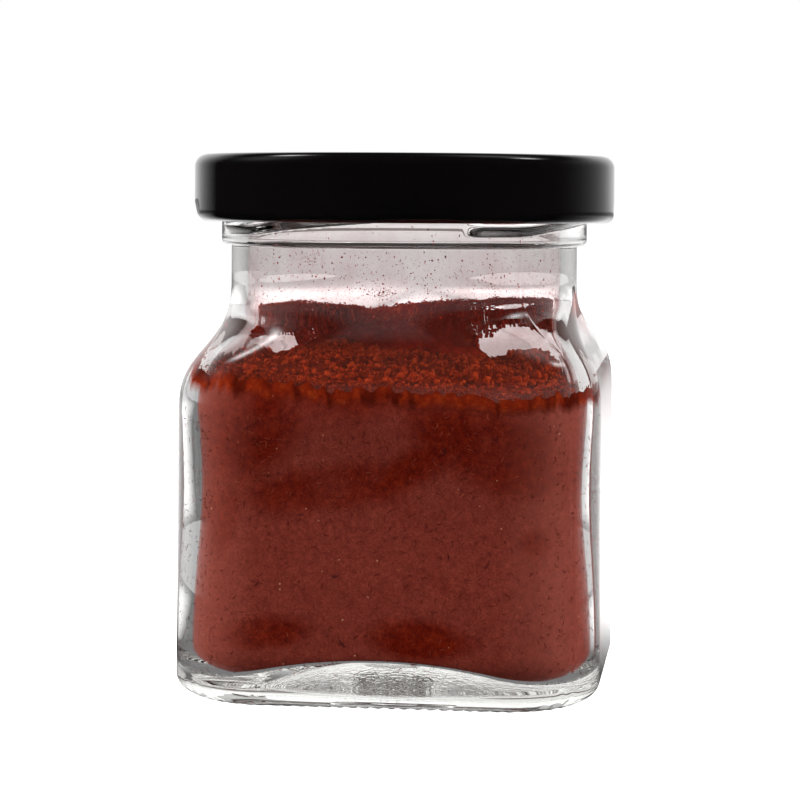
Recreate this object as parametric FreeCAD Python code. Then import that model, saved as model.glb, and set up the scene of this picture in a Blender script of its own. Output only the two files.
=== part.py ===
import FreeCAD, Part
import math
import os

# A small square jar of clear glass with a metal twist-off lid, filled with ground spice.
# Millimetres, +Z up. The origin lies on the standing plane under the middle of the jar,
# and the flat front of the jar faces -Y.

# Jar body: a rounded square that eases into the round neck
body_half = 27.0
corner_radius = 12.0
side_height = 33.5
shoulder_height = 19.2
neck_height = 4.6
neck_radius = 22.85
flat_ease = (3.35, 2.55)
corner_ease = (4.3, 1.8)

# Heel, standing ring and the underside pushed up inside it
heel_height = 3.0
heel_inset = 5.5
foot_width = 4.0
pushup_height = 3.4

# Wall, thicker half-way up, and the domed floor of the hollow. The inside has the outline that
# the outside has wall_slant of a wall higher, so that the sloping shoulder keeps its thickness.
wall = 2.1
belly_wall = 1.1
belly_height = 26.0
belly_span = 11.0
wall_slant = 0.41
floor_height = 8.8
floor_fall = 5.9
floor_power = 4
floor_heel_height = 4.2
floor_heel_inset = 3.0

# Finish: the round mouth that the lid grips
finish_step = 1.3
finish_round = 0.8
rim_round = 0.9
bore_step = 0.25

# Twist-off lid
lid_overhang = 3.6
lid_height = 8.75
lid_rise = 3.1
lid_tin = 0.3
lid_edge_round = 1.6
curl_radius = 1.1
panel_step = 0.6
lug_count = 4
lug_angle = 24.0
lug_turn = 11.0
lug_thick = 1.1
lug_rise = 0.2
lug_clear = 0.35

# Seal inside the lid
seal_thickness = 0.9
seal_width = 3.2
seal_clear = 0.2

# Ground spice: a loose surface, higher towards the back, banked against the back wall
powder_gap = 0.25
powder_over_side = 7.5
powder_rise_back = 0.055
powder_fall_right = 0.045
powder_lump = 0.55
bank_height = 6.0
bank_run = 7.5

# Heights and radii that follow from the sizes above
shoulder_top = side_height + shoulder_height
finish_start = shoulder_top + neck_height
finish_radius = neck_radius + finish_step
corner_reach = (body_half - corner_radius) * math.sqrt(2.0) + corner_radius
pushup_radius = body_half - heel_inset - foot_width
floor_low = floor_height - floor_fall
floor_reach = corner_reach - wall
lid_radius = finish_radius + lid_overhang
lid_bottom = finish_start + lid_rise
lid_top = lid_bottom + lid_height
rim_height = lid_top - lid_tin - seal_thickness
mouth_radius = neck_radius - wall + bore_step
bore_start = finish_start + 2.0 * finish_round
seal_inner = (mouth_radius + finish_radius - seal_width) / 2.0
panel_radius = seal_inner - seal_clear - panel_step - lid_tin
powder_level = side_height + powder_over_side
bank_start = neck_radius - wall - bank_run

outline_points = 40
grid_points = 15


def clamp(value):
    return min(max(value, 0.0), 1.0)


def ease(share, powers):
    # 0 to 1, with its own softness at each end
    rising, falling = powers
    return share**rising / (share**rising + (1.0 - share)**falling)


def smooth(share):
    share = clamp(share)
    return share * share * (3.0 - 2.0 * share)


def plan_at(height):
    # half width and corner radius of the outer outline at a height
    share = clamp((height - side_height) / shoulder_height)
    half = body_half + (neck_radius - body_half) * ease(share, flat_ease)
    reach = corner_reach + (neck_radius - corner_reach) * ease(share, corner_ease)
    radius = (math.sqrt(2.0) * half - reach) / (math.sqrt(2.0) - 1.0)
    return half, min(radius, half)


def outline(half, radius, height):
    # closed smooth curve round a square with rounded corners
    straight = half - radius
    points = []
    for step in range(outline_points):
        turn = 2.0 * math.pi * (step + 0.5) / outline_points
        across, along = math.cos(turn), math.sin(turn)
        side = max(abs(across), abs(along))
        other = min(abs(across), abs(along))
        reach = half / side
        if other * reach > straight:
            middle = straight * (side + other)
            reach = middle + math.sqrt(middle**2 - 2.0 * straight**2 + radius**2)
        points.append(FreeCAD.Vector(across * reach, along * reach, height))
    marks = [step / outline_points for step in range(outline_points + 1)]
    curve = Part.BSplineCurve()
    curve.interpolate(Points=points, PeriodicFlag=True, Parameters=marks)
    return Part.Wire([curve.toShape()])


def heights(start, end, count):
    return [start + (end - start) * step / count for step in range(count)]


def heel_heights(start, rise, count):
    # evenly spread round a quarter ellipse that begins flat
    return [start + rise * (1.0 - math.cos(math.pi / 2.0 * step / count)) for step in range(count)]


def side_heights(start, end, count):
    # closer together at both ends of a straight stretch
    turns = [math.pi * step / count for step in range(count)]
    return [start + (end - start) * (1.0 - math.cos(turn)) / 2.0 for turn in turns]


def heel_at(height, start, rise, inset):
    # how far the rounded lower edge is drawn in at a height
    share = clamp((start + rise - height) / rise)
    return inset * (1.0 - math.sqrt(1.0 - share**2))


def body_blank():
    # the outside of the jar up into the finish
    levels = heel_heights(0.0, heel_height, 9)
    levels += side_heights(heel_height, side_height, 10)
    levels += heights(side_height, shoulder_top, 14)
    levels += heights(shoulder_top, finish_start + finish_round, 5)
    levels.append(finish_start + finish_round)
    wires = []
    for height in levels:
        half, radius = plan_at(height)
        inset = heel_at(height, 0.0, heel_height, heel_inset)
        wires.append(outline(half - inset, radius - inset, height))
    return Part.makeLoft(wires, True, False)


def wall_at(height):
    belly = math.exp(-((height - belly_height) / belly_span)**2)
    return wall + belly_wall * belly


def hollow(gap, top):
    # the inside of the jar, or what fills it with a gap all round
    low = floor_low + gap
    heel_top = low + floor_heel_height
    levels = heel_heights(low, floor_heel_height, 6)
    levels += side_heights(heel_top, side_height, 9)
    levels += heights(side_height, shoulder_top, 14)
    levels += heights(shoulder_top, top, 6)
    levels.append(top)
    wires = []
    for height in levels:
        thick = wall_at(height)
        half, radius = plan_at(height + wall_slant * thick)
        inset = thick + gap + heel_at(height, low, floor_heel_height, floor_heel_inset)
        wires.append(outline(half - inset, radius - inset, height))
    return Part.makeLoft(wires, True, False)


def turned(edges):
    # solid of revolution about Z from a closed profile in the XZ plane
    face = Part.Face(Part.Wire(edges))
    return face.revolve(FreeCAD.Vector(0, 0, 0), FreeCAD.Vector(0, 0, 1), 360)


def at(radius, height):
    return FreeCAD.Vector(radius, 0, height)


def line(start, end):
    return Part.LineSegment(start, end).toShape()


def arc(centre, radius, first, last):
    # arc in the XZ plane, angles in degrees from +X towards +Z
    angles = [math.radians(turn) for turn in (first, (first + last) / 2.0, last)]
    points = [centre + at(radius * math.cos(turn), radius * math.sin(turn)) for turn in angles]
    return Part.Arc(*points).toShape()


def chain(edges):
    # the edges in order, joined by straight lines where they don't meet
    closed = []
    for index, edge in enumerate(edges):
        closed.append(edge)
        start = edge.lastVertex(True).Point
        end = edges[(index + 1) % len(edges)].firstVertex(True).Point
        if start.distanceToPoint(end) > 1e-6:
            closed.append(line(start, end))
    return closed


def dome(gap):
    # the glass that rises in the middle of the floor, flat on top and steep towards the corners
    reach = body_half * 1.5
    points = []
    for step in range(13):
        radius = reach * step / 12
        drop = floor_fall * (radius / floor_reach)**floor_power
        points.append(at(radius, floor_height + gap - drop))
    curve = Part.BSplineCurve()
    curve.interpolate(points)
    low = points[-1].z - 1.0
    edges = [curve.toShape(), line(at(reach, low), at(0, low))]
    return turned(chain(edges))


def pushup():
    # the hollow under the jar that leaves a ring to stand on
    radius = (pushup_radius**2 + pushup_height**2) / (2.0 * pushup_height)
    return Part.makeSphere(radius, FreeCAD.Vector(0, 0, pushup_height - radius))


def finish():
    # the round mouth that the lid grips: rounded foot and rim, and a bore a little wider than the neck
    foot = at(finish_radius - finish_round, finish_start + finish_round)
    outer = at(finish_radius - rim_round, rim_height - rim_round)
    inner = at(mouth_radius + rim_round, rim_height - rim_round)
    edges = [
        arc(foot, finish_round, -90, 0),
        arc(outer, rim_round, 0, 90),
        arc(inner, rim_round, 90, 180),
        line(at(mouth_radius, bore_start), at(0, bore_start)),
        line(at(0, bore_start), at(0, finish_start)),
    ]
    return turned(chain(edges))


def glass_jar():
    blank = body_blank().fuse(finish())
    space = hollow(0.0, bore_start + 1.0).cut(dome(0.0))
    return blank.cut(pushup()).cut(space)


def lid():
    # tinplate cap: sunk panel, rounded edge, straight skirt and a rolled lower edge
    edge = at(lid_radius - lid_edge_round, lid_top - lid_edge_round)
    roll = at(lid_radius - curl_radius, lid_bottom + curl_radius)
    panel = lid_top - panel_step
    step_foot = panel_radius + panel_step
    edges = [
        line(at(0, panel), at(panel_radius, panel)),
        line(at(step_foot, lid_top), at(edge.x, lid_top)),
        arc(edge, lid_edge_round, 90, 0),
        arc(roll, curl_radius, 0, -200),
        arc(roll, curl_radius - lid_tin, -200, 0),
        arc(edge, lid_edge_round - lid_tin, 0, 90),
        line(at(step_foot + lid_tin, lid_top - lid_tin), at(panel_radius + lid_tin, panel - lid_tin)),
        line(at(panel_radius, panel - lid_tin), at(0, panel - lid_tin)),
    ]
    shell = turned(chain(edges))
    for index in range(lug_count):
        shell = shell.fuse(lug(lug_turn + index * 360.0 / lug_count))
    return shell


def lug(turn):
    # a stretch of the rolled edge pressed inwards to grip under the thread
    reach = finish_radius + lug_clear
    half = lug_thick / 2.0
    nose = at(reach + half, lid_bottom + lug_rise + half)
    foot = lid_radius - curl_radius
    edges = [
        arc(nose, half, 270, 90),
        line(at(foot, nose.z + half), at(foot, nose.z - half)),
    ]
    face = Part.Face(Part.Wire(chain(edges)))
    face.rotate(FreeCAD.Vector(0, 0, 0), FreeCAD.Vector(0, 0, 1), turn - lug_angle / 2.0)
    return face.revolve(FreeCAD.Vector(0, 0, 0), FreeCAD.Vector(0, 0, 1), lug_angle)


def seal_ring():
    # soft ring under the lid that the rim presses on
    outer = seal_inner + seal_width
    top = rim_height + seal_thickness
    edges = [
        line(at(seal_inner, rim_height), at(outer, rim_height)),
        line(at(outer, top), at(seal_inner, top)),
    ]
    return turned(chain(edges))


def powder_height(across, along):
    # uneven loose surface with a bank at the back
    lumps = math.sin(0.31 * across + 0.8) * math.cos(0.27 * along - 0.4)
    lumps += 0.6 * math.sin(0.62 * across - 0.5 * along + 1.9)
    level = powder_level + powder_rise_back * along - powder_fall_right * across
    bank = bank_height * smooth((along - bank_start) / bank_run)
    return level + powder_lump * lumps + bank


def powder():
    reach = body_half * 1.1
    grid = []
    for row in range(grid_points):
        along = reach * (2.0 * row / (grid_points - 1) - 1.0)
        across = [reach * (2.0 * col / (grid_points - 1) - 1.0) for col in range(grid_points)]
        grid.append([FreeCAD.Vector(x, along, powder_height(x, along)) for x in across])
    surface = Part.BSplineSurface()
    surface.interpolate(grid)
    below = surface.toShape().extrude(FreeCAD.Vector(0, 0, -2.0 * shoulder_top))
    fill = hollow(powder_gap, finish_start).cut(dome(powder_gap))
    return fill.common(below)


def save(name, shape):
    shape = shape.removeSplitter()
    solids = shape.Solids
    if len(solids) == 1:
        shape = solids[0]
    print(name, "solids", len(solids), "valid", shape.isValid(), "volume", round(shape.Volume, 1))
    shape.exportStep("parts/" + name + ".step")


os.makedirs("parts", exist_ok=True)
save("glass_jar", glass_jar())
save("lid", lid())
save("seal_ring", seal_ring())
save("powder", powder())
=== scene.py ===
import math
import random

import bmesh
import bpy
from mathutils import Matrix, Vector, noise


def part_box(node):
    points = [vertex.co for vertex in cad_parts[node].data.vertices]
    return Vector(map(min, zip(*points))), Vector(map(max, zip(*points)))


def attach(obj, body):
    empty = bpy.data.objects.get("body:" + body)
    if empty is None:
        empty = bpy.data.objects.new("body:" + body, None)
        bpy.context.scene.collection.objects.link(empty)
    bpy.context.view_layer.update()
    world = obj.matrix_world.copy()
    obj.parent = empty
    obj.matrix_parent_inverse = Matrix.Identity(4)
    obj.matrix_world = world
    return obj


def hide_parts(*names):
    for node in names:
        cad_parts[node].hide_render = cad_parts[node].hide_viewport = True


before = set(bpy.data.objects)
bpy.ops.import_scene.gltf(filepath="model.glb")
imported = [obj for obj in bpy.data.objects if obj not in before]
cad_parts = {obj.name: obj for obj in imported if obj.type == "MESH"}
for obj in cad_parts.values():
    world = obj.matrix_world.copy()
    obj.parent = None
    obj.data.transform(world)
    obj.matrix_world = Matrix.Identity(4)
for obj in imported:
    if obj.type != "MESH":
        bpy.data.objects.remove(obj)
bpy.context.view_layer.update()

mm = 0.001


def boxOf(node):
    low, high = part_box(node)
    return Vector(low) / mm, Vector(high) / mm


def clamp(value, low=0.0, high=1.0):
    return min(max(value, low), high)


def mix(start, end, share):
    return start + (end - start) * share


def smooth(share):
    share = clamp(share)
    return share * share * (3.0 - 2.0 * share)


def window(value, start, end, fade):
    # 1 between start and end, fading to 0 inside both
    return smooth((value - start) / fade) * smooth((end - value) / fade)


def ease(share, powers):
    rising, falling = powers
    return share**rising / (share**rising + (1.0 - share)**falling)


def steps(start, end, count):
    return [mix(start, end, index / count) for index in range(count)]


def arcPoints(centre, radius, first, last, count):
    # points along an arc from one angle to another, both in degrees
    turns = [math.radians(mix(first, last, index / count)) for index in range(count + 1)]
    return [(centre[0] + radius * math.cos(turn), centre[1] + radius * math.sin(turn)) for turn in turns]


def clearSelection():
    if bpy.context.object and bpy.context.object.mode != "OBJECT":
        bpy.ops.object.mode_set(mode="OBJECT")
    bpy.ops.object.select_all(action="DESELECT")


def namePiece(name):
    piece = bpy.context.object
    piece.name = name
    piece.data.name = name
    return piece


def pickOnly(piece):
    clearSelection()
    piece.select_set(True)
    bpy.context.view_layer.objects.active = piece


def selectMesh():
    bpy.ops.mesh.select_all(action="SELECT")


def drawProfile(name, points):
    # one vertex pushed from point to point, as (radius, height) in millimetres
    clearSelection()
    radius, height = points[0]
    bpy.ops.mesh.primitive_plane_add(size=mm, location=(radius * mm, 0, height * mm))
    piece = namePiece(name)
    bpy.ops.object.transform_apply(location=True, rotation=True, scale=True)
    bpy.ops.object.mode_set(mode="EDIT")
    selectMesh()
    bpy.ops.mesh.merge(type="CENTER")
    for start, end in zip(points, points[1:]):
        push = ((end[0] - start[0]) * mm, 0, (end[1] - start[1]) * mm)
        bpy.ops.mesh.extrude_vertices_move(TRANSFORM_OT_translate={"value": push})
    return piece


def spinProfile(piece, count):
    # turns the drawn line about Z and keeps each vertex's place along it in "ring"
    shape = bmesh.from_edit_mesh(piece.data)
    ring = shape.verts.layers.int.new("ring")
    for vertex in shape.verts:
        vertex[ring] = vertex.index
    bmesh.update_edit_mesh(piece.data)
    selectMesh()
    bpy.ops.mesh.spin(steps=count, angle=2 * math.pi, center=(0, 0, 0), axis=(0, 0, 1))
    selectMesh()
    bpy.ops.mesh.remove_doubles(threshold=0.002 * mm)
    selectMesh()
    bpy.ops.mesh.normals_make_consistent(inside=False)


def setMarks(piece, name, marks):
    # a value from 0 to 1 at every vertex, which the materials read by its name
    layer = piece.data.attributes.new(name, "FLOAT", "POINT")
    layer.data.foreach_set("value", [clamp(float(mark)) for mark in marks])


def partsOf(piece, stations):
    # the station that each vertex was made from
    return [stations[value.value] for value in piece.data.attributes["ring"].data]


def run(kind, *stretches):
    # stations of one kind, in stretches from a value to a value in so many steps
    return [(kind, value) for start, end, count in stretches for value in steps(start, end, count)]


def shapeRings(piece, place):
    # moves every vertex to place(ring, turn), in millimetres
    shape = bmesh.from_edit_mesh(piece.data)
    ring = shape.verts.layers.int["ring"]
    for vertex in shape.verts:
        turn = math.atan2(vertex.co.y, vertex.co.x)
        vertex.co = place(vertex[ring], turn) * mm
    bmesh.update_edit_mesh(piece.data)
    selectMesh()
    bpy.ops.mesh.normals_make_consistent(inside=False)
    bpy.ops.object.mode_set(mode="OBJECT")


def turnPiece(name, points, around, place):
    piece = drawProfile(name, points)
    spinProfile(piece, around)
    shapeRings(piece, place)
    return piece


def polar(reach, turn, height):
    return Vector((reach * math.cos(turn), reach * math.sin(turn), height))


def newMaterial(name):
    material = bpy.data.materials.new(name)
    material.use_nodes = True
    tree = material.node_tree
    coords = tree.nodes.new("ShaderNodeTexCoord").outputs["Object"]
    return material, tree, tree.nodes["Principled BSDF"], coords


def addNode(tree, kind, **values):
    node = tree.nodes.new(kind)
    for key, value in values.items():
        if hasattr(node, key):
            setattr(node, key, value)
        else:
            node.inputs[key.replace("_", " ")].default_value = value
    return node


def fill(tree, node, places, values, output=0):
    # gives each of these inputs another node's output, a number or a color
    for place, value in zip(places, values):
        if hasattr(value, "links"):
            tree.links.new(value, node.inputs[place])
        else:
            node.inputs[place].default_value = value
    return node.outputs[output]


def separate(tree, coords):
    # the outputs "X", "Y" and "Z" of a place
    node = tree.nodes.new("ShaderNodeSeparateXYZ")
    tree.links.new(coords, node.inputs[0])
    return node.outputs


def noiseNode(tree, coords, scale, detail=4.0, roughness=0.55, distortion=0.0):
    looks = {"Scale": scale, "Detail": detail, "Roughness": roughness, "Distortion": distortion}
    node = addNode(tree, "ShaderNodeTexNoise", **looks)
    tree.links.new(coords, node.inputs["Vector"])
    return node.outputs["Fac"]


def ramp(tree, value, stops):
    node = tree.nodes.new("ShaderNodeValToRGB")
    elements = node.color_ramp.elements
    while len(elements) < len(stops):
        elements.new(0.5)
    for element, (place, color) in zip(elements, stops):
        element.position = place
        element.color = color if len(color) == 4 else (*color, 1.0)
    tree.links.new(value, node.inputs["Fac"])
    return node.outputs["Color"]


def markNode(tree, name):
    return addNode(tree, "ShaderNodeAttribute", attribute_name=name).outputs["Fac"]


def mathNode(tree, kind, *values, clampIt=False):
    node = addNode(tree, "ShaderNodeMath", operation=kind, use_clamp=clampIt)
    return fill(tree, node, (0, 1), values)


def times(tree, first, second, clampIt=False):
    return mathNode(tree, "MULTIPLY", first, second, clampIt=clampIt)


def between(tree, value, low, high, start=0.0, end=1.0):
    # carries a value from one range to another, held at both ends
    node = tree.nodes.new("ShaderNodeMapRange")
    return fill(tree, node, range(5), (value, low, high, start, end))


def mixNumber(tree, factor, first, second):
    return fill(tree, tree.nodes.new("ShaderNodeMix"), (0, 2, 3), (factor, first, second))


def grey(level):
    return (level, level, level, 1.0)


def blendColor(tree, factor, first, second, mode="MIX"):
    node = addNode(tree, "ShaderNodeMix", data_type="RGBA", blend_type=mode)
    return fill(tree, node, (0, 6, 7), (factor, first, second), 2)


def mixShaders(tree, factor, first, second):
    return fill(tree, tree.nodes.new("ShaderNodeMixShader"), (0, 1, 2), (factor, first, second))


def bump(tree, height, strength, distance):
    node = addNode(tree, "ShaderNodeBump", Strength=strength, Distance=distance)
    tree.links.new(height, node.inputs["Height"])
    return node.outputs["Normal"]


jar = {
    "half": 27.0,
    "corner": 12.0,
    "sideHeight": 33.5,
    "shoulderHeight": 19.2,
    "shoulderLean": 1.3,
    "leanReach": 1.0,
    "leanFade": 6.0,
    "neckRadius": 22.85,
    "flatEase": (3.35, 2.55),
    "cornerEase": (4.3, 1.8),
    "heelHeight": 3.0,
    "heelInset": 5.5,
    "footWidth": 4.0,
    "pushupHeight": 3.4,
    "wall": 2.1,
    "bellyWall": 1.1,
    "bellyHeight": 26.0,
    "bellySpan": 11.0,
    "insideShift": 0.41,
    "floorHeight": 8.8,
    "floorFall": 5.9,
    "floorHeelHeight": 4.2,
    "floorHeelInset": 3.0,
    "finishStart": 57.3,
    "finishRadius": 24.15,
    "finishRound": 0.8,
    "threadSpan": 4.6,
    "rimHeight": boxOf("glass_jar")[1].z,
    "rimRound": 0.9,
    "mouthRadius": 21.0,
    "around": 400,
}
shoulderTop = jar["sideHeight"] + jar["shoulderHeight"]
cornerReach = (jar["half"] - jar["corner"]) * math.sqrt(2) + jar["corner"]
pushupRadius = jar["half"] - jar["heelInset"] - jar["footWidth"]
floorLow = jar["floorHeight"] - jar["floorFall"]
floorReach = cornerReach - jar["wall"]
boreStart = jar["finishStart"] + 2 * jar["finishRound"]


def planAt(height):
    # half width over the flats and corner radius of the outline at one height
    share = clamp((height - jar["sideHeight"]) / jar["shoulderHeight"])
    half = mix(jar["half"], jar["neckRadius"], ease(share, jar["flatEase"]))
    reach = mix(cornerReach, jar["neckRadius"], ease(share, jar["cornerEase"]))
    radius = (math.sqrt(2) * half - reach) / (math.sqrt(2) - 1)
    return half, min(radius, half)


def outlineReach(half, radius, turn):
    # distance to a square with rounded corners along one direction
    straight = half - radius
    side = max(abs(math.cos(turn)), abs(math.sin(turn)))
    other = min(abs(math.cos(turn)), abs(math.sin(turn)))
    if other * half / side <= straight:
        return half / side
    middle = straight * (side + other)
    return middle + math.sqrt(max(middle**2 - 2 * straight**2 + radius**2, 0))


def leanAt(x, y, height):
    # the shoulder of this blown jar sits a little lower at one corner and higher at the opposite one
    reach = jar["leanReach"]
    near = window(height, jar["sideHeight"] - reach, shoulderTop + reach, jar["leanFade"])
    return jar["shoulderLean"] * (x + y) / (2 * jar["half"]) * near


def leaned(point):
    return point + Vector((0, 0, leanAt(point.x, point.y, point.z)))


def wallAt(height):
    # thickest in the middle of the side
    away = (height - jar["bellyHeight"]) / jar["bellySpan"]
    return jar["wall"] + jar["bellyWall"] * math.exp(-away**2)


def insideReach(height, turn, gap=0.0):
    # distance to the inner surface; under the shoulder it follows the outline of a little further up
    thick = wallAt(height)
    half, radius = planAt(height + jar["insideShift"] * thick)
    share = clamp((floorLow + jar["floorHeelHeight"] - height) / jar["floorHeelHeight"])
    inset = thick + gap + jar["floorHeelInset"] * (1 - math.sqrt(1 - share**2))
    return outlineReach(half - inset, radius - inset, turn)


def domeHeight(reach):
    return jar["floorHeight"] - jar["floorFall"] * (reach / floorReach)**4


def floorEdge(turn, gap=0.0):
    # height where the domed floor meets the wall in one direction
    low, high = floorLow, jar["floorHeight"]
    for _ in range(30):
        middle = (low + high) / 2
        if domeHeight(insideReach(middle, turn, gap)) + gap > middle:
            low = middle
        else:
            high = middle
    return (low + high) / 2


threadForm = {
    "starts": 4,
    "first": -65.0,
    "span": 112.0,
    "low": 60.05,
    "flat": 14.0,
    "climb": 0.036,
    "climbEase": 20.0,
    "height": 1.0,
    "half": 1.3,
    "fullness": 1.4,
    "startFade": 5.0,
    "endFade": 10.0,
}
seamForm = {
    "bodyTurn": -44.0,
    "neckTurn": -42.6,
    "from": 40.0,
    "to": 53.0,
    "height": 0.02,
    "spread": 3.0,
}
knurlForm = {
    "count": 104,
    "depth": 0.22,
    "from": 17.8,
    "to": 25.5,
    "sharpness": 1.3,
    "innerEase": 5.0,
    "outerEase": 3.0,
}


def threadLift(turn, height):
    # rounded ridges that climb round the finish
    form = threadForm
    lift = 0.0
    for index in range(form["starts"]):
        start = form["first"] + index * 360 / form["starts"]
        along = (math.degrees(turn) - start) % 360
        if along > form["span"]:
            continue
        climb = max(along - form["flat"], 0)
        middle = form["low"] + form["climb"] * climb * smooth(climb / form["climbEase"])
        away = abs(height - middle) / form["half"]
        if away < 1:
            ends = smooth(along / form["startFade"]) * smooth((form["span"] - along) / form["endFade"])
            lift = max(lift, form["height"] * ends * (1 - away**2)**form["fullness"])
    return lift


def seamTurn(height):
    share = smooth((height - seamForm["from"]) / (seamForm["to"] - seamForm["from"]))
    return math.radians(mix(seamForm["bodyTurn"], seamForm["neckTurn"], share))


def crowd(turn, height):
    # draws the columns beside each mould seam close to it, so that the seam can be a fine ridge
    spread = math.radians(seamForm["spread"])
    for half in (0, math.pi):
        away = (turn - seamTurn(height) - half + math.pi) % (2 * math.pi) - math.pi
        if abs(away) < spread:
            column = 2 * math.pi / jar["around"]
            step = round(away / column)
            drawn = step * abs(step) * column**2 / spread
            return seamTurn(height) + half + drawn, step == 0
    return turn, False


def knurlLift(point, turn):
    # short bars pressed into the heel round the standing ring
    form = knurlForm
    reach = max(abs(point.x), abs(point.y))
    share = (reach - form["from"]) / (form["to"] - form["from"])
    if share <= 0 or share >= 1:
        return 0.0
    bar = smooth(0.5 - 0.5 * math.cos(2 * math.pi * barPhase(turn)) * form["sharpness"])
    return form["depth"] * bar * smooth(share * form["innerEase"]) * smooth((1 - share) * form["outerEase"])


def barPhase(turn):
    # the bars are evenly spread round the outline and not by angle
    place = (turn / (2 * math.pi)) % 1 * len(outlineWay)
    low = int(place) % len(outlineWay)
    high = outlineWay[low + 1] if low + 1 < len(outlineWay) else 1.0
    return knurlForm["count"] * mix(outlineWay[low], high, place - int(place))


def measureOutline(count):
    # share of the way round the outline that is behind each of many even turns
    points = []
    for index in range(count + 1):
        turn = 2 * math.pi * index / count
        points.append(polar(outlineReach(jar["half"], jar["corner"], turn), turn, 0))
    lengths = [(second - first).length for first, second in zip(points, points[1:])]
    total = sum(lengths)
    return [sum(lengths[:index]) / total for index in range(count)]


outlineWay = measureOutline(720)


def jarStations():
    # the closed line of the glass in section, from the middle of the underside to the middle of the floor
    stations = run("pushup", (0, 1, 14)) + run("foot", (0, 1, 5)) + run("heel", (0, math.pi / 2, 16))
    sides = [(1 - math.cos(turn)) / 2 for turn in steps(0, math.pi, 14)]
    stations += [("side", mix(jar["heelHeight"], jar["sideHeight"], share)) for share in sides]
    neckEnd = jar["finishStart"] - 0.3
    stations += run("side", (jar["sideHeight"], shoulderTop, 40), (shoulderTop, neckEnd, 5))
    stations += [("side", neckEnd), ("side", jar["finishStart"] - 0.12)]
    beadLow = jar["finishStart"] + jar["finishRound"]
    threadTop = beadLow + jar["threadSpan"]
    wallTop = jar["rimHeight"] - jar["rimRound"]
    bead = (jar["finishRadius"] - jar["finishRound"], beadLow)
    outer = (jar["finishRadius"] - jar["rimRound"], wallTop)
    inner = (jar["mouthRadius"] + jar["rimRound"], wallTop)
    finish = [(jar["neckRadius"] + 0.04, jar["finishStart"] - 0.03)]
    finish += [(jar["neckRadius"] + 0.14, jar["finishStart"])]
    finish += arcPoints(bead, jar["finishRound"], -90, 0, 6)[:-1]
    finish += [(jar["finishRadius"], height) for height in steps(beadLow, threadTop, 28)]
    finish += [(jar["finishRadius"], height) for height in steps(threadTop, wallTop, 8)]
    finish += arcPoints(outer, jar["rimRound"], 0, 90, 5)
    finish += arcPoints(inner, jar["rimRound"], 90, 180, 5)[:-1]
    finish += [(jar["mouthRadius"], height) for height in steps(wallTop, boreStart, 5)]
    stations += [("finish", point) for point in finish]
    stations += run("inside", (1, 0.83, 4), (0.83, 0.52, 30), (0.52, 0.12, 14), (0.12, 0, 12))
    return stations + run("floor", (1, 0, 18)) + [("floor", 0)]


def placeOnJar(kind, value, turn, edges):
    # where one station of the section comes to lie in one direction
    if kind == "pushup":
        radius = (pushupRadius**2 + jar["pushupHeight"]**2) / (2 * jar["pushupHeight"])
        reach = pushupRadius * value
        return polar(reach, turn, math.sqrt(radius**2 - reach**2) - radius + jar["pushupHeight"])
    if kind == "foot":
        outer = outlineReach(jar["half"] - jar["heelInset"], jar["corner"] - jar["heelInset"], turn)
        point = polar(mix(pushupRadius, outer, value), turn, 0)
        return point + Vector((0, 0, knurlLift(point, turn)))
    if kind == "heel":
        height = jar["heelHeight"] * (1 - math.cos(value))
        turn, onSeam = crowd(turn, height)
        inset = jar["heelInset"] * (1 - math.sin(value)) - (seamForm["height"] if onSeam else 0)
        point = polar(outlineReach(jar["half"] - inset, jar["corner"] - inset, turn), turn, height)
        return point + Vector((0, 0, knurlLift(point, turn)))
    if kind == "side":
        turn, onSeam = crowd(turn, value)
        lift = seamForm["height"] if onSeam else 0
        return leaned(polar(outlineReach(*planAt(value), turn) + lift, turn, value))
    if kind == "finish":
        reach, height = value
        if reach > jar["finishRadius"] - 0.01:
            reach += threadLift(turn, height)
        return polar(reach, turn, height)
    edge = edges(turn)
    if kind == "inside":
        height = mix(edge, boreStart, value)
        return leaned(polar(insideReach(height, turn), turn, height))
    reach = insideReach(edge, turn) * value
    return polar(reach, turn, domeHeight(reach))


def frontLine(stations, place):
    # the section as it is drawn, before it is turned and shaped
    points = [place(index, 0.0) for index in range(len(stations))]
    return [(point.x, point.z) for point in points]


def remember(function):
    # keeps what a slow function of the turn has found
    found = {}

    def lookUp(turn):
        key = round(turn, 6)
        if key not in found:
            found[key] = function(turn)
        return found[key]
    return lookUp


def makeJar():
    stations = jarStations()
    edges = remember(floorEdge)

    def place(ring, turn):
        return placeOnJar(*stations[ring], turn, edges)
    piece = turnPiece("jarGlass", frontLine(stations, place), jar["around"], place)
    bpy.ops.object.shade_smooth_by_angle(angle=math.radians(40))
    parts = partsOf(piece, stations)
    setMarks(piece, "inner", [kind == "inside" for kind, value in parts])
    setMarks(piece, "under", [kind in ("pushup", "foot") for kind, value in parts])
    return piece


glassLook = {
    "tint": (0.985, 0.978, 0.978, 1),
    "dustTint": (0.75, 0.57, 0.57, 1),
    "dustHeights": (0.046, 0.062),
    "film": (0.5, 0.14, 0.09, 1),
    "filmShare": 0.03,
    "shadow": (0.94, 0.95, 0.945, 1),
    "body": (0.7, 0.72, 0.67, 1),
    "density": 11.0,
    "pale": (0.52, 0.48, 0.475, 1),
    "paleDepth": 7,
}


def paleWhenDeep(tree, shader, depth):
    # light caught between the walls for long would come out in the end, and must not end as black
    path = tree.nodes.new("ShaderNodeLightPath")
    pale = addNode(tree, "ShaderNodeEmission", Color=glassLook["pale"], Strength=1.0)
    deep = mathNode(tree, "GREATER_THAN", path.outputs["Ray Depth"], depth)
    return mixShaders(tree, deep, shader, pale.outputs[0])


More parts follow.
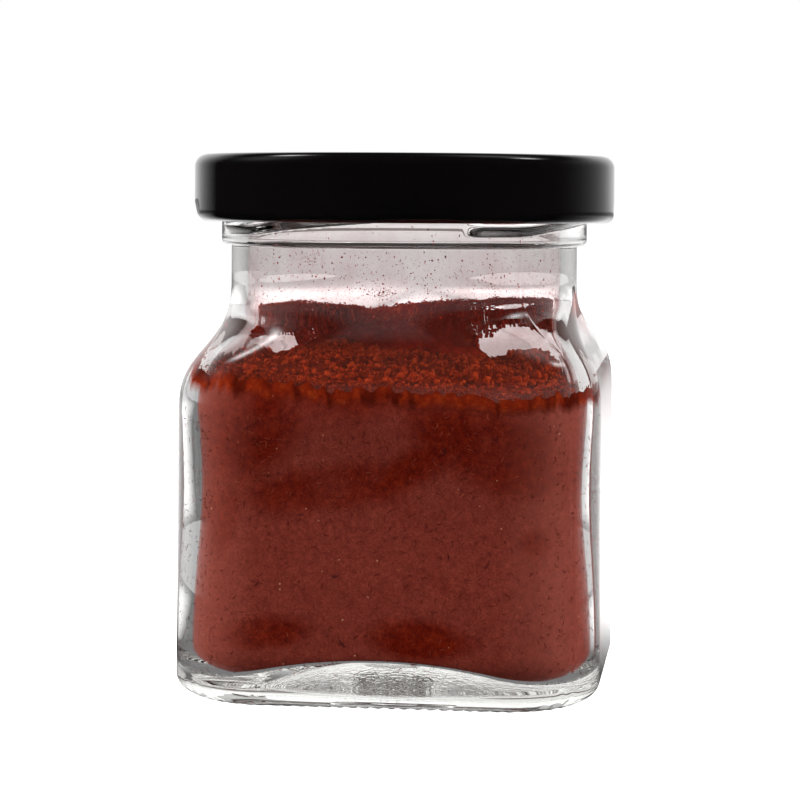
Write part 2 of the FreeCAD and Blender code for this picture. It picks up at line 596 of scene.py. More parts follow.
def dustOn(tree, coords):
    # a film of spice dust on the inside, in clouds and wiped streaks, thicker low down
    high = between(tree, separate(tree, coords)["Z"], *glassLook["dustHeights"], 1.0, 0.45)
    clouds = between(tree, noiseNode(tree, coords, 95, 5, 0.6, 0.8), 0.3, 0.75, 0.35, 1.25)
    stretch = addNode(tree, "ShaderNodeMapping", Scale=(1.0, 1.0, 0.25))
    tree.links.new(coords, stretch.inputs["Vector"])
    streaks = between(tree, noiseNode(tree, stretch.outputs[0], 420, 4, 0.65), 0.35, 0.7, 0.75, 1.2)
    return times(tree, times(tree, clouds, streaks), high)


def glassFinish():
    look = glassLook
    material, tree, shader, coords = newMaterial("clearGlass")
    dust = times(tree, dustOn(tree, coords), markNode(tree, "inner"), clampIt=True)
    tree.links.new(blendColor(tree, dust, look["tint"], look["dustTint"]), shader.inputs["Base Color"])
    shader.inputs["Roughness"].default_value = 0.0
    shader.inputs["IOR"].default_value = 1.5
    shader.inputs["Transmission Weight"].default_value = 1.0
    stipple = times(tree, noiseNode(tree, coords, 1300, 2, 0.5), markNode(tree, "under"))
    tree.links.new(bump(tree, stipple, 0.5, 0.0003), shader.inputs["Normal"])
    film = addNode(tree, "ShaderNodeBsdfDiffuse", Color=look["film"])
    dusty = mixShaders(tree, times(tree, dust, look["filmShare"]), shader.outputs[0], film.outputs[0])
    shadow = addNode(tree, "ShaderNodeBsdfTransparent", Color=look["shadow"])
    path = tree.nodes.new("ShaderNodeLightPath")
    glass = mixShaders(tree, path.outputs["Is Shadow Ray"], dusty, shadow.outputs[0])
    output = tree.nodes["Material Output"]
    tree.links.new(paleWhenDeep(tree, glass, look["paleDepth"]), output.inputs["Surface"])
    body = addNode(tree, "ShaderNodeVolumeAbsorption", Color=look["body"], Density=look["density"])
    tree.links.new(body.outputs[0], output.inputs["Volume"])
    return material


jarPiece = makeJar()
jarPiece.data.materials.append(glassFinish())
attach(jarPiece, "root")
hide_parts("glass_jar")
print("jar glass:", len(jarPiece.data.polygons), "faces")


powderForm = {
    "around": 440,
    "reachIn": 0.12,
    "level": 41.0,
    "frontDrop": 1.7,
    "backDrop": 1.3,
    "backRise": 1.1,
    "fallRight": 0.045,
    "lump": 0.3,
    "ridgeHalf": 6.0,
    "ridgeFade": 9.0,
    "crumb": 1.1,
    "crumbScale": 0.42,
    "grit": 0.35,
    "gritScale": 1.4,
    "coatTop": 47.1,
    "bandTop": 47.75,
    "coatTurns": (15.0, 36.0),
    "coatFade": 9.0,
    "coatRagged": 0.55,
    "coatFoot": 2.2,
    "streak": 0.5,
    "pressedShare": 0.97,
}
# darker patches where the spice packs clean against the front: across, up, half width, half height, lean
darkPatches = [
    (-17.0, 34.5, 6.0, 6.5, 0.3),
    (-6.5, 27.6, 9.5, 2.6, 0.12),
    (6.0, 31.0, 7.0, 2.2, 0.45),
    (13.5, 33.0, 8.5, 5.0, -0.25),
    (-14.0, 9.5, 5.0, 1.8, 0.1),
    (5.3, 9.3, 6.5, 2.0, -0.05),
    (19.0, 21.0, 1.4, 1.6, 0.0),
    (-19.5, 23.5, 2.4, 4.0, 0.3),
]


def lumpNoise(x, y):
    return noise.fractal(Vector((x, y, 3.1)) * powderForm["crumbScale"], 0.9, 2.1, 4)


def gritNoise(x, y):
    return noise.fractal(Vector((x, y, 8.7)) * powderForm["gritScale"], 0.9, 2.1, 4)


def raggedNoise(turn):
    return noise.fractal(polar(9, turn, 0), 0.8, 2.1, 5)


def looseHeight(x, y):
    # lower along the front and in the middle of the back, higher towards the back corners
    form = powderForm
    lumps = math.sin(0.31 * x + 0.8) * math.cos(0.27 * y - 0.4)
    lumps += 0.6 * math.sin(0.62 * x - 0.5 * y + 1.9)
    aside = smooth((abs(x) - form["ridgeHalf"]) / form["ridgeFade"])
    height = form["level"] - form["fallRight"] * x + form["lump"] * lumps
    height -= form["frontDrop"] * clamp(-y / 24)**2
    height += form["backRise"] * clamp(y / 18) * aside
    height -= form["backDrop"] * smooth((y - 1) / 17) * (1 - aside)
    height += form["crumb"] * (0.5 - abs(lumpNoise(x, y))) + form["grit"] * gritNoise(x, y)
    return height - leanAt(x, y, height)


def hollowMark(point):
    # 1 down in the cracks between the lumps of the loose spice, where the colour gets painted shade
    lump = abs(lumpNoise(point.x, point.y))
    return smooth((lump - 0.2 - 0.3 * gritNoise(point.x, point.y)) / 0.3)


def coatShare(turn):
    # 1 where the layer clings to the back, which reaches further round on the left
    form = powderForm
    away = (math.degrees(turn) - 90 + 180) % 360 - 180
    limit = form["coatTurns"][1] if away > 0 else form["coatTurns"][0]
    return smooth((limit + form["coatFade"] - abs(away)) / form["coatFade"])


def looseEdge(turn):
    # height where the loose surface would meet the glass in one direction
    height = powderForm["level"]
    for _ in range(8):
        reach = insideReach(height, turn, -powderForm["reachIn"])
        height = looseHeight(reach * math.cos(turn), reach * math.sin(turn))
    return height


def contactEdge(turn):
    # the ragged line up to which spice clings to the glass
    form = powderForm
    low = looseEdge(turn) + 0.35 * noise.fractal(polar(30, turn, 0), 0.8, 2.1, 5)
    ragged = raggedNoise(turn) + 0.5 * noise.noise(polar(70, turn, 0))
    return mix(low, form["coatTop"] + form["coatRagged"] * ragged, coatShare(turn))


def powderStations():
    # the closed line of the spice in section, from the middle of its underside to the middle of its top
    stations = run("floor", (0, 1, 12)) + run("wall", (0, 0.15, 10), (0.15, 1, 30)) + run("coat", (0, 1, 26))
    return stations + run("top", (1, 0.55, 72), (0.55, 0, 40)) + [("top", 0)]


def coatPoint(turn, share, low, high):
    # the loose side of the layer that clings to the glass, from its ragged edge down to its foot
    form = powderForm
    height = mix(high, low, share)
    cling = coatShare(turn)
    streaks = noise.noise(polar(26, turn, height * 0.12))
    patches = noise.fractal(polar(9, turn, height * 0.5), 0.9, 2.1, 4)
    thick = 0.35 + form["streak"] * (0.7 * streaks + 0.6 * patches) * cling
    inward = smooth(share / 0.06) * max(thick, 0.12) * (1 - share) + form["coatFoot"] * share**2.2
    return polar(insideReach(height, turn, -form["reachIn"]) - inward, turn, height)


def placePowder(kind, value, turn, edges, lows, highs):
    # where one station of the section comes to lie in one direction
    gap = -powderForm["reachIn"]
    edge = edges(turn)
    if kind == "floor":
        reach = insideReach(edge, turn, gap) * value
        return polar(reach, turn, domeHeight(reach) + gap)
    low, high = lows(turn), highs(turn)
    if kind == "wall":
        height = mix(edge, high, value)
        return leaned(polar(insideReach(height, turn, gap), turn, height))
    if kind == "coat":
        return leaned(coatPoint(turn, value, low, high))
    foot = coatPoint(turn, 1, low, high)
    point = Vector((foot.x * value, foot.y * value, 0))
    held = smooth((value - 0.93) / 0.07)
    point.z = mix(looseHeight(point.x, point.y), low, held)
    return leaned(point)


def patchMark(point):
    # 1 inside a dark patch of the front, and along the loose surface on the other sides
    mark = smooth((point.z - 35.0) / 5.0) * 0.8
    if point.y < 0 and abs(point.y) > abs(point.x) * 0.8:
        for across, up, halfWidth, halfHeight, lean in darkPatches:
            side = (point.x - across) / halfWidth
            rise = (point.z - up - lean * (point.x - across)) / halfHeight
            mark = max(mark, smooth(1.6 - math.hypot(side, rise)))
    else:
        mark = max(mark, smooth(noise.noise(point * 0.09 + Vector((7, 3, 5))) * 2.2))
    return mark


def rimMark(point, highs):
    # rises towards the ragged line where the spice lets go of the glass, where the loose spice takes painted
    # shade
    below = highs(math.atan2(point.y, point.x)) - (point.z - leanAt(point.x, point.y, point.z))
    return smooth(1 - below / 1.5)**2


def makePowder():
    form = powderForm
    stations = powderStations()
    edges = remember(lambda turn: floorEdge(turn, -form["reachIn"]))
    lows, highs = remember(looseEdge), remember(contactEdge)

    def place(ring, turn):
        return placePowder(*stations[ring], turn, edges, lows, highs)
    piece = turnPiece("spicePowder", frontLine(stations, place), form["around"], place)
    bpy.ops.object.shade_smooth()
    points = [vertex.co / mm for vertex in piece.data.vertices]
    loose, coat = [], []
    for (kind, value), point in zip(partsOf(piece, stations), points):
        loose.append(kind not in ("floor", "wall") or value >= form["pressedShare"])
        coat.append(coatShare(math.atan2(point.y, point.x)) if kind == "coat" else 0)
    setMarks(piece, "loose", loose)
    setMarks(piece, "coat", coat)
    setMarks(piece, "patch", map(patchMark, points))
    setMarks(piece, "hollow", map(hollowMark, points))
    setMarks(piece, "rim", [rimMark(point, highs) for point in points])
    return piece


spiceLook = {
    "hazy": [(0.25, (0.14, 0.02, 0.0135)), (0.5, (0.19, 0.03, 0.0195)), (0.78, (0.25, 0.043, 0.028))],
    "rich": [(0.25, (0.06, 0.0025, 0.001)), (0.5, (0.125, 0.0075, 0.002)), (0.78, (0.21, 0.019, 0.005))],
    "loose": [(0.28, (0.1, 0.006, 0.001)), (0.5, (0.26, 0.02, 0.0035)), (0.72, (0.44, 0.055, 0.009))],
    # brighter colours where the layer clings to the back wall: painted light for what shines through the
    # thin layer from behind
    "backlitClinging": [(0.3, (0.25, 0.008, 0.002)), (0.6, (0.5, 0.024, 0.007)), (0.75, (0.8, 0.09, 0.03))],
    "grain": [(0.3, grey(0.72)), (0.7, grey(1.25))],
    "husk": (0.04, 0.008, 0.008, 1),
    # paler colour at the jar's corners: a painted reflection of the bright sides in the rounded glass
    "corner": (0.36, 0.1, 0.075, 1),
    # painted shade down in the cracks between the lumps of the loose spice
    "hollow": (0.05, 0.003, 0.001, 1),
    # painted shade in the crevice along the line where the spice lets go of the glass
    "rim": (0.09, 0.006, 0.0015, 1),
    "specks": ((1500, 0.965, (0.05, 0.008, 0.007, 1)), (1900, 0.985, (0.6, 0.3, 0.18, 1))),
    "bendLeft": 1 / 1.5,
    "bendRight": 1 / 1.39,
    "paleDepth": 4,
}


def addSpecks(tree, coords, color, scale, rarity, tint):
    speck = addNode(tree, "ShaderNodeTexVoronoi", Scale=scale)
    tree.links.new(coords, speck.inputs["Vector"])
    pick = tree.nodes.new("ShaderNodeSeparateColor")
    tree.links.new(speck.outputs["Color"], pick.inputs[0])
    chosen = between(tree, pick.outputs[0], rarity, rarity + 0.005)
    dot = between(tree, speck.outputs["Distance"], 0.12, 0.26, 0.7, 0.0)
    return blendColor(tree, times(tree, chosen, dot), color, tint)


def spiceColor(tree, coords):
    # packed against glass: hazy with dust, richer in the dark patches, paler at the corners, where a painted
    # reflection stands in for the bright sides that the rounded glass corners mirror
    look = spiceLook
    drift = between(tree, noiseNode(tree, coords, 110, 5, 0.6), 0.3, 0.75, -0.45, 0.4)
    patch = mathNode(tree, "ADD", markNode(tree, "patch"), drift, clampIt=True)
    mottle = noiseNode(tree, coords, 950, 5, 0.7)
    color = blendColor(tree, patch, ramp(tree, mottle, look["hazy"]), ramp(tree, mottle, look["rich"]))
    grain = ramp(tree, noiseNode(tree, coords, 3600, 2, 0.6), look["grain"])
    color = blendColor(tree, 1.0, color, grain, "MULTIPLY")
    husk = between(tree, noiseNode(tree, coords, 430, 3, 0.6, 0.8), 0.69, 0.74, 0.0, 0.8)
    color = blendColor(tree, husk, color, look["husk"])
    place = separate(tree, coords)
    aside = mathNode(tree, "ABSOLUTE", place["X"])
    along = mathNode(tree, "ABSOLUTE", place["Y"])
    # painted reflection: the spice turns paler towards each corner, where the rounded glass mirrors the
    # bright sides
    corner = between(tree, mathNode(tree, "MINIMUM", aside, along), 0.015, 0.0225, 0.0, 0.45)
    color = blendColor(tree, corner, color, look["corner"])
    for scale, rarity, tint in look["specks"]:
        color = addSpecks(tree, coords, color, scale, rarity, tint)
    return color


def looseColor(tree, coords):
    # crumbly on top and brighter, with painted shade in its cracks and where it meets the glass; where it
    # clings to the back glass it is lighter still, painted light for what shines through the thin layer
    look = spiceLook
    lump = noiseNode(tree, coords, 700, 6, 0.72)
    top = ramp(tree, lump, look["loose"])
    # painted shade in the cracks between the lumps
    top = blendColor(tree, times(tree, markNode(tree, "hollow"), 0.85), top, look["hollow"])
    # painted shade along the line where the spice lets go of the glass
    top = blendColor(tree, times(tree, markNode(tree, "rim"), 0.6), top, look["rim"])
    # painted light: brighter colours where the layer clings to the back glass, lit through from behind
    return blendColor(tree, markNode(tree, "coat"), top, ramp(tree, lump, look["backlitClinging"]))


def pressedMirror(tree, coords):
    # the thin air between glass and spice mirrors what meets it at a flat angle, less so on the right
    mirror = addNode(tree, "ShaderNodeBsdfGlossy", Roughness=0.0)
    skin = tree.nodes.new("ShaderNodeFresnel")
    across = separate(tree, coords)["X"]
    bend = between(tree, across, 0.0, 0.022, spiceLook["bendLeft"], spiceLook["bendRight"])
    tree.links.new(bend, skin.inputs["IOR"])
    return mirror.outputs[0], between(tree, skin.outputs[0], 0.05, 1.0)


def spiceFinish():
    material, tree, shader, coords = newMaterial("groundSpice")
    broken = mathNode(tree, "ADD", markNode(tree, "rim"), noiseNode(tree, coords, 1300, 4, 0.7))
    loose = mathNode(tree, "MAXIMUM", markNode(tree, "loose"), between(tree, broken, 0.98, 1.06))
    color = blendColor(tree, loose, spiceColor(tree, coords), looseColor(tree, coords))
    tree.links.new(color, shader.inputs["Base Color"])
    shader.inputs["Roughness"].default_value = 0.9
    shader.inputs["Specular IOR Level"].default_value = 0.15
    relief = times(tree, noiseNode(tree, coords, 2200, 5, 0.75), loose)
    tree.links.new(bump(tree, relief, 0.9, 0.0005), shader.inputs["Normal"])
    mirror, share = pressedMirror(tree, coords)
    pressed = times(tree, share, mathNode(tree, "SUBTRACT", 1.0, loose))
    spice = mixShaders(tree, pressed, shader.outputs[0], mirror)
    surface = paleWhenDeep(tree, spice, spiceLook["paleDepth"])
    tree.links.new(surface, tree.nodes["Material Output"].inputs["Surface"])
    return material


powderPiece = makePowder()
powderPiece.data.materials.append(spiceFinish())
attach(powderPiece, "root")
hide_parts("powder")
print("ground spice:", len(powderPiece.data.polygons), "faces")


def crumbShape(roughness, flatness, draw):
    # one crumb of about a millimetre: twenty faces, pushed out of round and flattened
    clearSelection()
    bpy.ops.mesh.primitive_ico_sphere_add(subdivisions=1, radius=0.5)
    model = bpy.context.object
    corners = [vertex.co * draw.uniform(1 - roughness, 1 + roughness) for vertex in model.data.vertices]
    faces = [tuple(face.vertices) for face in model.data.polygons]
    bpy.ops.object.delete()
    return [Vector((corner.x, corner.y, corner.z * flatness)) for corner in corners], faces


def fibreShape(bend, thick):
    # one bent fibre, a millimetre long: four three-sided rings and two ends
    corners = []
    for share in (-0.5, -0.18, 0.18, 0.5):
        slim = thick * (1 - 1.4 * share**2)
        for side in (0, 1, 2):
            turn = side * 2 * math.pi / 3
            across = bend * (share**2 - 0.1) + slim * math.cos(turn)
            corners.append(Vector((share, across, 0.6 * slim * math.sin(turn))))
    faces = [(2, 1, 0), (9, 10, 11)]
    for ring in (0, 3, 6):
        for side, after in ((0, 1), (1, 2), (2, 0)):
            faces.append((ring + side, ring + after, ring + 3 + after, ring + 3 + side))
    return corners, faces


def scatter(name, places, shapes, draw):
    # all crumbs of one kind as one mesh; each place is a point, a size, and the way its flat side faces
    corners, faces = [], []
    for point, size, facing in places:
        model, sides = shapes[draw.randrange(len(shapes))]
        spin = Matrix.Rotation(draw.uniform(0, 2 * math.pi), 3, "Z")
        turned = facing.to_track_quat("Z", "Y").to_matrix() @ spin * size
        first = len(corners)
        corners += [(point + turned @ corner) * mm for corner in model]
        faces += [tuple(first + index for index in side) for side in sides]
    data = bpy.data.meshes.new(name)
    data.from_pydata(corners, [], faces)
    piece = bpy.data.objects.new(name, data)
    bpy.context.collection.objects.link(piece)
    pickOnly(piece)
    bpy.ops.object.shade_smooth()
    return piece


def onWall(turn, height, inset):
    return leaned(polar(insideReach(height, turn) - inset, turn, height))


def wallFacing(turn):
    return polar(1, turn, 0.15)


def randomFacing(draw):
    return Vector((draw.gauss(0, 1), draw.gauss(0, 1), draw.gauss(0, 1) + 0.01))


crumbForm = {
    "band": 8000,
    "bandTurns": (8, 184),
    "bandFade": 8,
    "eyes": ((14, 68), (129, 183)),
    "eyeFade": 10,
    "lowBetween": 42.6,
    "lowAtEyes": 45.8,
    "fringe": 1500,
    "rim": 2000,
    "top": 3600,
    "specks": 3000,
    "fibres": 3600,
    "darkLengths": (0.3, 1.0),
    "paleLengths": (0.25, 0.85),
}
# smudges of dust on the glass: turn, height, width, height of the smudge, specks
smudges = ((136, 55.0, 7.0, 1.6, 90), (106, 49.8, 6.5, 1.0, 170), (60, 51.5, 9.0, 1.6, 60))


def clearCorner(degrees):
    # 1 at the back corners, where the spice has dropped off the glass
    return max(window(degrees, start, end, crumbForm["eyeFade"]) for start, end in crumbForm["eyes"])


def bandLow(degrees):
    # lower border of the band of spice left on the back wall above the clear corners
    low = mix(crumbForm["lowBetween"], crumbForm["lowAtEyes"], clearCorner(degrees))
    return low + 0.2 * math.sin(degrees * 0.21)


def bandHigh(degrees):
    return mix(powderForm["coatTop"], powderForm["bandTop"], clearCorner(degrees))


def bandPlaces(draw):
    # crumbs that cling to the back wall, closest together high up
    form, places = crumbForm, []
    start, end = form["bandTurns"]
    while len(places) < form["band"]:
        degrees = draw.uniform(start, end)
        turn = math.radians(degrees)
        top = bandHigh(degrees) + powderForm["coatRagged"] * noise.noise(Vector((degrees * 0.12, 4, 7)))
        fade = window(degrees, start, end, form["bandFade"])
        height = mix(bandLow(degrees) - 0.25, top, math.sqrt(draw.random()))
        if draw.random() < fade:
            size = draw.uniform(0.28, 0.62) * (1 + 0.4 * clearCorner(degrees))
            places.append((onWall(turn, height, size * 0.2), size, wallFacing(turn)))
    for _ in range(form["fringe"]):
        degrees = draw.uniform(start + form["bandFade"], end - form["bandFade"])
        turn = math.radians(degrees)
        top = bandHigh(degrees) + powderForm["coatRagged"] * raggedNoise(turn)
        size = draw.uniform(0.12, 0.4)
        height = top + abs(draw.gauss(0, 0.28)) - 0.1
        places.append((onWall(turn, height, size * 0.2), size, wallFacing(turn)))
    return places


def rimPlaces(draw):
    # crumbs along the line where the loose spice meets the glass in front and at the sides
    places = []
    for _ in range(crumbForm["rim"]):
        turn = math.radians(draw.uniform(-205, 25))
        size = draw.uniform(0.15, 0.6)
        height = looseEdge(turn) + abs(draw.gauss(0, 0.35)) - 0.1
        places.append((onWall(turn, height, size * 0.45), size, randomFacing(draw)))
    return places


def topPlaces(draw):
    # loose grains lying on the spice
    places = []
    while len(places) < crumbForm["top"]:
        x, y = draw.uniform(-24, 24), draw.uniform(-24, 24)
        turn = math.atan2(y, x)
        height = looseHeight(x, y)
        if math.hypot(x, y) < insideReach(height, turn) - 0.5:
            size = draw.uniform(0.2, 0.6) * (2.0 if draw.random() < 0.15 else 1)
            places.append((leaned(Vector((x, y, height + size * 0.2))), size, randomFacing(draw)))
    return places


def speckPlaces(draw):
    # specks of dust stuck to the glass above the spice
    places = []
    count = crumbForm["specks"]
    spots = [(draw.uniform(-180, 180), draw.triangular(47.5, 60.5, 48.5)) for _ in range(count)]
    for degrees, height, wide, tall, count in smudges:
        spots += [(draw.gauss(degrees, wide / 2), draw.gauss(height, tall / 2)) for _ in range(count)]
    for degrees, height in spots:
        turn = math.radians(degrees)
        size = clamp(draw.lognormvariate(-2.35, 0.45), 0.04, 0.32)
        places.append((onWall(turn, height, size * 0.15), size, wallFacing(turn)))
    return places


def fibrePlaces(draw, shortest, longest):
    # fibres and husks pressed against the glass all round
    places = []
    for _ in range(crumbForm["fibres"]):
        side = draw.choice((-90, 0, 90, 180))
        turn = math.radians(side) + math.atan(draw.uniform(-1.05, 1.05))
        height = draw.uniform(4.5, 37.5)
        length = draw.uniform(shortest, longest)
        turned = math.radians(round(math.degrees(turn) / 90) * 90)
        point = leaned(polar(insideReach(height, turn, -powderForm["reachIn"] - 0.012), turn, height))
        places.append((point, length, polar(1, turned, 0)))
    return places


def crumbFinish(name, dark, middle, light):
    material, tree, shader, coords = newMaterial(name)
    color = ramp(tree, noiseNode(tree, coords, 1500, 3, 0.7), [(0.3, dark), (0.5, middle), (0.7, light)])
    tree.links.new(color, shader.inputs["Base Color"])
    shader.inputs["Roughness"].default_value = 0.85
    shader.inputs["Specular IOR Level"].default_value = 0.2
    return material


draw = random.Random(11)
roundShapes = [crumbShape(0.28, 0.8, draw) for _ in range(8)]
flatShapes = [crumbShape(0.3, 0.35, draw) for _ in range(8)]
rimSpice = crumbFinish("rimSpice", (0.07, 0.004, 0.001), (0.16, 0.013, 0.003), (0.3, 0.035, 0.007))
fibreShapes = [fibreShape(draw.uniform(-1.2, 1.2), draw.uniform(0.03, 0.055)) for _ in range(10)]
darkFibre = crumbFinish("darkFibre", (0.06, 0.005, 0.003), (0.1, 0.01, 0.006), (0.16, 0.018, 0.01))
paleFibre = crumbFinish("paleFibre", (0.22, 0.035, 0.018), (0.3, 0.055, 0.028), (0.42, 0.1, 0.055))
looseSpice = crumbFinish("looseSpice", (0.12, 0.008, 0.0015), (0.28, 0.022, 0.0035), (0.48, 0.06, 0.009))
# crumbs on the back wall and dust specks take the same brighter colours, painted light for what shines
# through them from behind
backlitClungSpice = crumbFinish("backlitClungSpice", (0.25, 0.008, 0.002), (0.5, 0.024, 0.007), (0.8, 0.09, 0.03))
for name, places, shapes, material in (
    ("wallCrumbs", bandPlaces(draw), flatShapes, backlitClungSpice),
    ("rimCrumbs", rimPlaces(draw), roundShapes, rimSpice),
    ("topCrumbs", topPlaces(draw), roundShapes, looseSpice),
    ("dustSpecks", speckPlaces(draw), flatShapes, backlitClungSpice),
    ("darkFibres", fibrePlaces(draw, *crumbForm["darkLengths"]), fibreShapes, darkFibre),
    ("paleFibres", fibrePlaces(draw, *crumbForm["paleLengths"]), fibreShapes, paleFibre),
):
    crumbPiece = scatter(name, places, shapes, draw)
    crumbPiece.data.materials.append(material)
    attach(crumbPiece, "root")
    print(name + ":", len(crumbPiece.data.polygons), "faces")


lidLow, lidHigh = boxOf("lid")
lidForm = {
    "radius": lidHigh.x,
    "bottom": lidLow.z,
    "top": lidHigh.z,
    "tin": 0.3,
    "edgeRound": 1.6,
    "curl": 1.1,
    "panelRadius": 19.85,
    "panelStep": 0.6,
    "around": 192,
    "lugs": 4,
    "lugTurn": 11.0,
    "lugHalf": 12.5,
    "lugFade": 5.0,
    "lugReach": 2.6,
    "lugOut": 0.55,
    "lugIn": 1.1,
}


def lidProfile():
    form = lidForm
    tin = form["tin"]
    panel = form["top"] - form["panelStep"]
    foot = form["panelRadius"]
    edge = (form["radius"] - form["edgeRound"], form["top"] - form["edgeRound"])
    roll = (form["radius"] - form["curl"], form["bottom"] + form["curl"])
    points = [(foot * share, panel) for share in steps(0, 1, 8)]
    points += arcPoints((foot, panel + tin), tin, -90, -45, 4)
    points += arcPoints((foot + form["panelStep"] + tin, form["top"] - tin), tin, 135, 90, 4)
    points += [(mix(foot + 2, edge[0], share), form["top"]) for share in steps(0, 1, 3)]
    points += arcPoints(edge, form["edgeRound"], 90, 0, 12)
    points += [(form["radius"], mix(edge[1], roll[1], share)) for share in steps(0.05, 1, 12)]
    points += arcPoints(roll, form["curl"], 0, -200, 20)
    points += arcPoints(roll, form["curl"] - tin, -200, 0, 16)
    points += [(form["radius"] - tin, mix(roll[1], edge[1], share)) for share in steps(0.1, 1, 6)]
    points += arcPoints(edge, form["edgeRound"] - tin, 0, 90, 8)
    points += [(foot + form["panelStep"] + tin, form["top"] - tin), (foot + tin, panel - tin)]
    points += [(foot * share, panel - tin) for share in steps(1, 0, 4)] + [(0, panel - tin)]
    return points


def placeLid(point, turn):
    # the rolled edge is pressed in at each lug
    form = lidForm
    radius, height = point
    apart = 360 / form["lugs"]
    away = abs((math.degrees(turn) - form["lugTurn"] + apart / 2) % apart - apart / 2)
    press = smooth((form["lugHalf"] - away) / form["lugFade"])
    low = clamp((form["bottom"] + form["lugReach"] - height) / form["lugReach"])
    inner = clamp((form["radius"] - radius) / (2 * form["curl"]))
    if radius > form["panelRadius"] + 3:
        radius -= mix(form["lugOut"], form["lugIn"], inner) * press * low
    return polar(radius, turn, height)


def makeLid():
    points = lidProfile()
    piece = turnPiece("twistLid", points, lidForm["around"], lambda ring, turn: placeLid(points[ring], turn))
    bpy.ops.object.shade_smooth()
    return piece


def enamelFinish():
    material, tree, shader, coords = newMaterial("blackEnamel")
    shader.inputs["Base Color"].default_value = (0.0015, 0.0012, 0.0013, 1)
    rough = ramp(tree, noiseNode(tree, coords, 180, 3), [(0.3, grey(0.07)), (0.7, grey(0.11))])
    tree.links.new(rough, shader.inputs["Roughness"])
    tree.links.new(bump(tree, noiseNode(tree, coords, 900, 2), 0.04, 0.0002), shader.inputs["Normal"])
    return material


lidPiece = makeLid()
lidPiece.data.materials.append(enamelFinish())
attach(lidPiece, "root")
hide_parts("lid")
print("lid:", len(lidPiece.data.polygons), "faces")


def sealFinish():
    material, tree, shader, coords = newMaterial("lidSeal")
    cloud = noiseNode(tree, coords, 400, 3)
    color = ramp(tree, cloud, [(0.3, (0.55, 0.53, 0.48)), (0.7, (0.66, 0.64, 0.6))])
    tree.links.new(color, shader.inputs["Base Color"])
    shader.inputs["Roughness"].default_value = 0.6
    return material


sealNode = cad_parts["seal_ring"]
sealNode.data.materials.clear()
sealNode.data.materials.append(sealFinish())
print("seal: material set")


floorForm = {
    "half": 3.0,
    "front": -0.085,
    "color": 0.8,
    "near": 0.04,
    "far": 0.4,
    "direct": 0.75,
    "nearGlow": 0.41,
    "farGlow": 0.37,
}
worldForm = {
    "plain": 0.42,
    "mirrorFront": 0.008,
    "throughFront": 0.62,
    "throughAbove": 0.06,
    "mirrorHeights": (0.4, 0.62),
    "throughHeights": (0.25, 0.6),
    "leftEdge": (-56, -26),
    "rightEdge": (28, 95),
    "turn": 7.05,
    "softLights": (
        ((-60, 56), 9.0, 320),
        ((-86, 42), 0.5, 30),
        ((67, 52), 9.0, 320),
        ((48, 64), 0.8, 60),
    ),
}


def softLights(tree, coords):
    # soft lights high up on both sides, which only mirror in what shines: way to it, strength, narrowness
    total = 0.0
    for (turn, rise), strength, narrow in worldForm["softLights"]:
        turn, rise = math.radians(turn), math.radians(rise)
        level = math.cos(rise)
        along = addNode(tree, "ShaderNodeVectorMath", operation="DOT_PRODUCT")
        tree.links.new(coords, along.inputs[0])
        along.inputs[1].default_value = (level * math.sin(turn), level * math.cos(turn), math.sin(rise))
        near = mathNode(tree, "POWER", mathNode(tree, "MAXIMUM", along.outputs["Value"], 0.0), narrow)
        total = mathNode(tree, "ADD", total, times(tree, near, strength))
    return total


def whiteBehind(tree, coords):
    # 1 behind the object and 0 in front of it, with a soft edge on each side
    form = worldForm
    place = separate(tree, coords)
    turn = mathNode(tree, "ARCTAN2", place["X"], place["Y"])
    degrees = mathNode(tree, "ADD", times(tree, turn, 180 / math.pi), form["turn"])
    left = between(tree, degrees, *form["leftEdge"])
    right = between(tree, degrees, *form["rightEdge"], 1.0, 0.0)
    return times(tree, left, times(tree, right, right))


def makeFloor():
    # a pale table that ends just in front of the object, white for what looks at it from afar
    form = floorForm
    clearSelection()
    bpy.ops.mesh.primitive_plane_add(size=2 * form["half"], location=(0, form["half"] + form["front"], 0))
    floor = namePiece("studioFloor")
    bpy.ops.object.transform_apply(location=True, rotation=True, scale=True)
    material, tree, shader, coords = newMaterial("paleFloor")
    shader.inputs["Roughness"].default_value = 0.9
    shader.inputs["Specular IOR Level"].default_value = 0.0
    shader.inputs["Emission Color"].default_value = grey(1.0)
    away = addNode(tree, "ShaderNodeVectorMath", operation="LENGTH")
    tree.links.new(coords, away.inputs[0])
    path = tree.nodes.new("ShaderNodeLightPath")
    behind = whiteBehind(tree, coords)
    direct = times(tree, path.outputs["Is Camera Ray"], form["direct"])
    glow = between(tree, away.outputs["Value"], form["near"], form["far"], form["nearGlow"], form["farGlow"])
    through = times(tree, glow, between(tree, behind, 0, 1, worldForm["throughFront"], 1))
    bent = times(tree, path.outputs["Is Transmission Ray"], through)
    tree.links.new(mathNode(tree, "MAXIMUM", direct, bent), shader.inputs["Emission Strength"])
    mirrored = blendColor(tree, behind, grey(0.0), grey(form["color"]))
    color = blendColor(tree, path.outputs["Is Glossy Ray"], grey(form["color"]), mirrored)
    tree.links.new(color, shader.inputs["Base Color"])
    floor.data.materials.append(material)


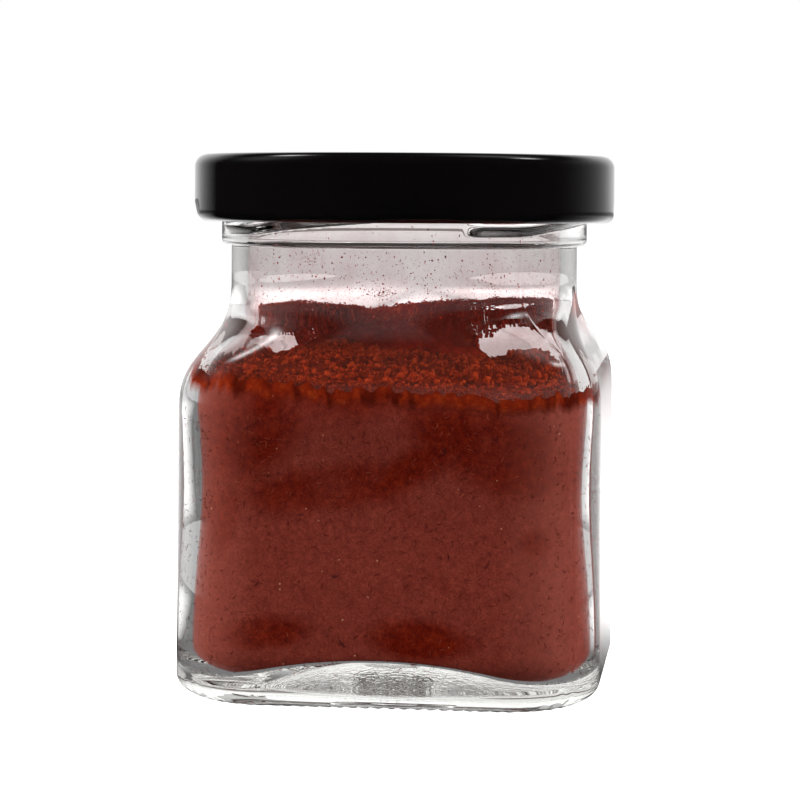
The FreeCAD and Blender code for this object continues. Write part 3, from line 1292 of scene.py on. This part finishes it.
def makeWorld():
    # white behind the object for what looks at it, dark in front, plain grey for what lights it
    form = worldForm
    world = bpy.data.worlds.new("studio")
    bpy.context.scene.world = world
    world.use_nodes = True
    tree = world.node_tree
    back = tree.nodes["Background"]
    back.inputs["Color"].default_value = grey(1.0)
    coords = tree.nodes.new("ShaderNodeTexCoord").outputs["Generated"]
    behind = whiteBehind(tree, coords)
    path = tree.nodes.new("ShaderNodeLightPath")
    up = separate(tree, coords)["Z"]
    low = times(tree, behind, between(tree, up, *form["mirrorHeights"], 1.0, 0.0))
    white = between(tree, low, 0, 1, form["mirrorFront"], 1)
    mirrored = mathNode(tree, "ADD", white, softLights(tree, coords))
    front = between(tree, up, *form["throughHeights"], form["throughFront"], form["throughAbove"])
    through = mixNumber(tree, behind, front, 1.0)
    level = mixNumber(tree, path.outputs["Is Glossy Ray"], form["plain"], mirrored)
    level = mixNumber(tree, path.outputs["Is Transmission Ray"], level, through)
    final = mathNode(tree, "MAXIMUM", path.outputs["Is Camera Ray"], level)
    tree.links.new(final, back.inputs["Strength"])


def addPanel(name, place, aim, width, height, power):
    clearSelection()
    bpy.ops.object.light_add(type="AREA", location=place)
    lamp = bpy.context.object
    lamp.name = name
    lamp.data.shape = "RECTANGLE"
    lamp.data.size = width
    lamp.data.size_y = height
    lamp.data.energy = power
    lamp.visible_glossy = False
    lamp.visible_transmission = False
    lamp.rotation_euler = (Vector(aim) - Vector(place)).to_track_quat("-Z", "Y").to_euler()


cameraForm = {
    "turn": 7.05,
    "distance": 354.0,
    "height": 63.67,
    "roll": 0.37,
    "sensor": 36.0,
    "lens": 120.08034,
    "shiftX": -0.00575,
    "shiftY": -0.253875,
}


def makeCamera():
    form = cameraForm
    turn = math.radians(form["turn"])
    forward = Vector((-math.sin(turn), math.cos(turn), 0))
    right = Vector((math.cos(turn), math.sin(turn), 0))
    up = Vector((0, 0, 1))
    roll = math.radians(form["roll"])
    rolledRight = right * math.cos(roll) + up * math.sin(roll)
    rolledUp = up * math.cos(roll) - right * math.sin(roll)
    place = (-forward * form["distance"] + up * form["height"]) * mm
    clearSelection()
    bpy.ops.object.camera_add(location=place)
    camera = bpy.context.object
    camera.name = "studioCamera"
    facing = Matrix((rolledRight, rolledUp, -forward)).transposed()
    camera.rotation_euler = facing.to_euler()
    camera.data.sensor_width = form["sensor"]
    camera.data.lens = form["lens"]
    camera.data.shift_x = form["shiftX"]
    camera.data.shift_y = form["shiftY"]
    camera.data.clip_start = 0.01
    bpy.context.scene.camera = camera


makeFloor()
makeWorld()
addPanel("leftPanel", (-0.55, -0.25, 0.45), (0, 0, 0.035), 0.5, 0.6, 9.0)
addPanel("rightPanel", (0.6, -0.05, 0.4), (0, 0, 0.035), 0.4, 0.6, 7.5)
addPanel("topPanel", (0.0, -0.15, 0.7), (0, 0, 0.03), 0.6, 0.5, 4.5)
makeCamera()
bpy.context.scene.view_settings.view_transform = "Standard"
print("floor, light and camera set")
